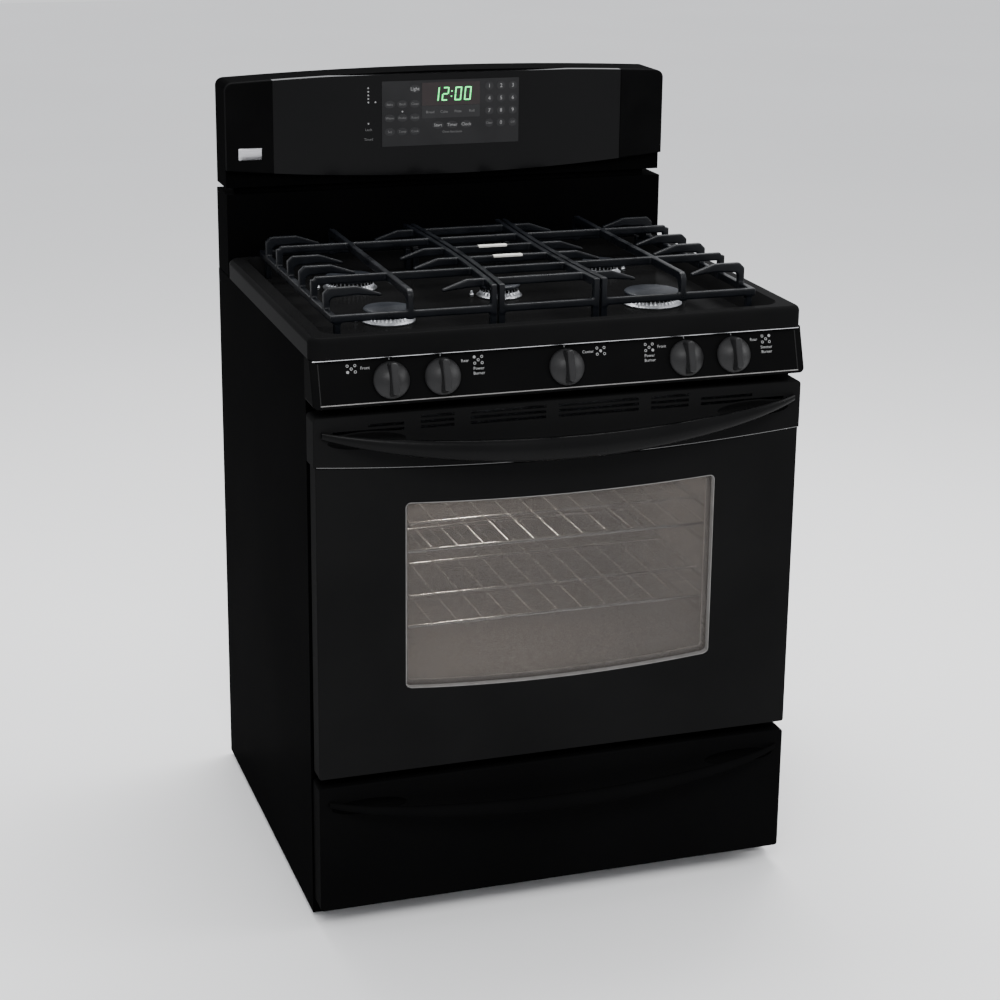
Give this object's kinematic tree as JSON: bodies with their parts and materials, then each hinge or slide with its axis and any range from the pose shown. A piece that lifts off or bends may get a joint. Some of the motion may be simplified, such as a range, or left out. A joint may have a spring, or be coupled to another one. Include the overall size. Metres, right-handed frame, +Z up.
{
  "type": "freestanding gas range",
  "caption": "Freestanding black range with sealed gas burners under continuous cast grates, an oven with a window door, a storage drawer and an upright control backguard.",
  "frame": {"origin": "centre of the footprint at floor level", "axes": "+Z up, the front faces -Y, +X to the right seen from the front"},
  "size_m": [0.759, 0.715, 1.2099],
  "materials": {
    "black_enamel_side": "semi-gloss black enamel",
    "galvanised_steel": "galvanised sheet",
    "zinc_screws": "zinc plated",
    "cavity_enamel": "speckled grey porcelain",
    "mineral_wool": "matte mineral wool",
    "element_sheath": "oxidised nickel alloy",
    "cooktop_enamel": "glossy black porcelain",
    "cast_aluminium": "cast, matte",
    "brass_fittings": "machined",
    "aluminium_tube": "bright tube",
    "gas_steel": "plain steel pipe",
    "regulator_body": "die cast",
    "panel_paint": "glossy black",
    "console_plastic": "black",
    "console_glass": "back painted black glass",
    "display_membrane": "dark grey",
    "circuit_board": "solder mask",
    "window_glass": "tinted",
    "liner_enamel": "speckled grey porcelain",
    "gasket_braid": "glass-fibre braid",
    "drawer_steel": "grey",
    "rack_wire": "bright nickel",
    "cast_iron": "matte porcelain coat",
    "cap_enamel": "satin black porcelain",
    "knob_plastic": "satin black",
    "stem_steel": "turned",
    "leg_steel": "zinc plated"
  },
  "bodies": {
    "cabinet": {"side_panel_left": "black_enamel_side", "side_panel_right": "black_enamel_side", "rear_panel": "galvanised_steel", "base_rails": "galvanised_steel", "cabinet_screws": "zinc_screws", "oven_cavity": "cavity_enamel", "oven_insulation": "mineral_wool", "bake_element": "element_sheath", "broil_element": "element_sheath", "hinge_receivers": "zinc_screws", "drawer_rails": "galvanised_steel", "cooktop_pan": "cooktop_enamel", "burner_heads": "cast_aluminium", "burner_valves": "brass_fittings", "burner_tubes": "aluminium_tube", "gas_manifold": "gas_steel", "gas_supply_pipe": "gas_steel", "pressure_regulator": "regulator_body", "control_panel": "panel_paint", "backguard_riser": "panel_paint", "console_housing": "console_plastic", "console_end_caps": "console_plastic", "console_glass": "console_glass", "display_overlay": "display_membrane", "control_board": "circuit_board"},
    "oven_door": {"door_outer_panel": "panel_paint", "door_outer_glass": "window_glass", "door_inner_panel": "liner_enamel", "door_inner_glass": "window_glass", "door_gasket": "gasket_braid", "door_top_trim": "console_plastic", "door_handle": "console_plastic", "door_hinges": "zinc_screws"},
    "drawer": {"drawer_front": "panel_paint", "drawer_pan": "drawer_steel", "drawer_slides": "galvanised_steel"},
    "rack_lower": {"rack_lower": "rack_wire"},
    "rack_upper": {"rack_upper": "rack_wire"},
    "grate_left": {"grate_left": "cast_iron"},
    "grate_center": {"grate_center": "cast_iron"},
    "grate_right": {"grate_right": "cast_iron"},
    "cap_front_left": {"cap_front_left": "cap_enamel"},
    "cap_rear_left": {"cap_rear_left": "cap_enamel"},
    "cap_center": {"cap_center": "cap_enamel"},
    "cap_front_right": {"cap_front_right": "cap_enamel"},
    "cap_rear_right": {"cap_rear_right": "cap_enamel"},
    "valve_stem_1": {"valve_stem_1": "stem_steel"},
    "knob_1": {"knob_1": "knob_plastic"},
    "valve_stem_2": {"valve_stem_2": "stem_steel"},
    "knob_2": {"knob_2": "knob_plastic"},
    "valve_stem_3": {"valve_stem_3": "stem_steel"},
    "knob_3": {"knob_3": "knob_plastic"},
    "valve_stem_4": {"valve_stem_4": "stem_steel"},
    "knob_4": {"knob_4": "knob_plastic"},
    "valve_stem_5": {"valve_stem_5": "stem_steel"},
    "knob_5": {"knob_5": "knob_plastic"},
    "leg_front_left": {"leg_front_left": "leg_steel"},
    "leg_front_right": {"leg_front_right": "leg_steel"},
    "leg_rear_left": {"leg_rear_left": "leg_steel"},
    "leg_rear_right": {"leg_rear_right": "leg_steel"}
  },
  "joints": [
    {"name": "oven_door_hinge", "type": "hinge", "parent": "cabinet", "child": "oven_door", "pos_m": [0, -0.2875, 0.262], "axis": [1, 0, 0], "range_deg": [0, 88], "stiffness_Nm_per_rad": 28, "springref_deg": -14.32},
    {"name": "drawer_slide", "type": "slide", "parent": "cabinet", "child": "drawer", "axis": [0, -1, 0], "range_m": [0, 0.35]},
    {"name": "rack_lower_slide", "type": "slide", "parent": "cabinet", "child": "rack_lower", "axis": [0, -1, 0], "range_m": [0, 0.018]},
    {"name": "rack_upper_slide", "type": "slide", "parent": "cabinet", "child": "rack_upper", "axis": [0, -1, 0], "range_m": [0, 0.018]},
    {"name": "grate_left_lift", "type": "slide", "parent": "cabinet", "child": "grate_left", "axis": [0, 0, 1], "range_m": [0, 0.1]},
    {"name": "grate_center_lift", "type": "slide", "parent": "cabinet", "child": "grate_center", "axis": [0, 0, 1], "range_m": [0, 0.1]},
    {"name": "grate_right_lift", "type": "slide", "parent": "cabinet", "child": "grate_right", "axis": [0, 0, 1], "range_m": [0, 0.1]},
    {"name": "cap_front_left_lift", "type": "slide", "parent": "cabinet", "child": "cap_front_left", "axis": [0, 0, 1], "range_m": [0, 0.03]},
    {"name": "cap_rear_left_lift", "type": "slide", "parent": "cabinet", "child": "cap_rear_left", "axis": [0, 0, 1], "range_m": [0, 0.03]},
    {"name": "cap_center_lift", "type": "slide", "parent": "cabinet", "child": "cap_center", "axis": [0, 0, 1], "range_m": [0, 0.03]},
    {"name": "cap_front_right_lift", "type": "slide", "parent": "cabinet", "child": "cap_front_right", "axis": [0, 0, 1], "range_m": [0, 0.03]},
    {"name": "cap_rear_right_lift", "type": "slide", "parent": "cabinet", "child": "cap_rear_right", "axis": [0, 0, 1], "range_m": [0, 0.03]},
    {"name": "valve_1_turn", "type": "hinge", "parent": "cabinet", "child": "valve_stem_1", "pos_m": [-0.264, -0.30495, 0.852], "axis": [0, -0.9511, 0.309], "range_deg": [0, 250]},
    {"name": "knob_1_push", "type": "slide", "parent": "valve_stem_1", "child": "knob_1", "axis": [0, 0.9511, -0.309], "range_m": [0, 0.003], "stiffness_N_per_m": 1500, "springref_m": -0.001},
    {"name": "valve_2_turn", "type": "hinge", "parent": "cabinet", "child": "valve_stem_2", "pos_m": [-0.188, -0.30495, 0.852], "axis": [0, -0.9511, 0.309], "range_deg": [0, 250]},
    {"name": "knob_2_push", "type": "slide", "parent": "valve_stem_2", "child": "knob_2", "axis": [0, 0.9511, -0.309], "range_m": [0, 0.003], "stiffness_N_per_m": 1500, "springref_m": -0.001},
    {"name": "valve_3_turn", "type": "hinge", "parent": "cabinet", "child": "valve_stem_3", "pos_m": [0, -0.30495, 0.852], "axis": [0, -0.9511, 0.309], "range_deg": [0, 250]},
    {"name": "knob_3_push", "type": "slide", "parent": "valve_stem_3", "child": "knob_3", "axis": [0, 0.9511, -0.309], "range_m": [0, 0.003], "stiffness_N_per_m": 1500, "springref_m": -0.001},
    {"name": "valve_4_turn", "type": "hinge", "parent": "cabinet", "child": "valve_stem_4", "pos_m": [0.188, -0.30495, 0.852], "axis": [0, -0.9511, 0.309], "range_deg": [0, 250]},
    {"name": "knob_4_push", "type": "slide", "parent": "valve_stem_4", "child": "knob_4", "axis": [0, 0.9511, -0.309], "range_m": [0, 0.003], "stiffness_N_per_m": 1500, "springref_m": -0.001},
    {"name": "valve_5_turn", "type": "hinge", "parent": "cabinet", "child": "valve_stem_5", "pos_m": [0.264, -0.30495, 0.852], "axis": [0, -0.9511, 0.309], "range_deg": [0, 250]},
    {"name": "knob_5_push", "type": "slide", "parent": "valve_stem_5", "child": "knob_5", "axis": [0, 0.9511, -0.309], "range_m": [0, 0.003], "stiffness_N_per_m": 1500, "springref_m": -0.001},
    {"name": "leg_front_left_level", "type": "slide", "parent": "cabinet", "child": "leg_front_left", "axis": [0, 0, -1], "range_m": [0, 0.02]},
    {"name": "leg_front_right_level", "type": "slide", "parent": "cabinet", "child": "leg_front_right", "axis": [0, 0, -1], "range_m": [0, 0.02]},
    {"name": "leg_rear_left_level", "type": "slide", "parent": "cabinet", "child": "leg_rear_left", "axis": [0, 0, -1], "range_m": [0, 0.02]},
    {"name": "leg_rear_right_level", "type": "slide", "parent": "cabinet", "child": "leg_rear_right", "axis": [0, 0, -1], "range_m": [0, 0.02]}
  ]
}
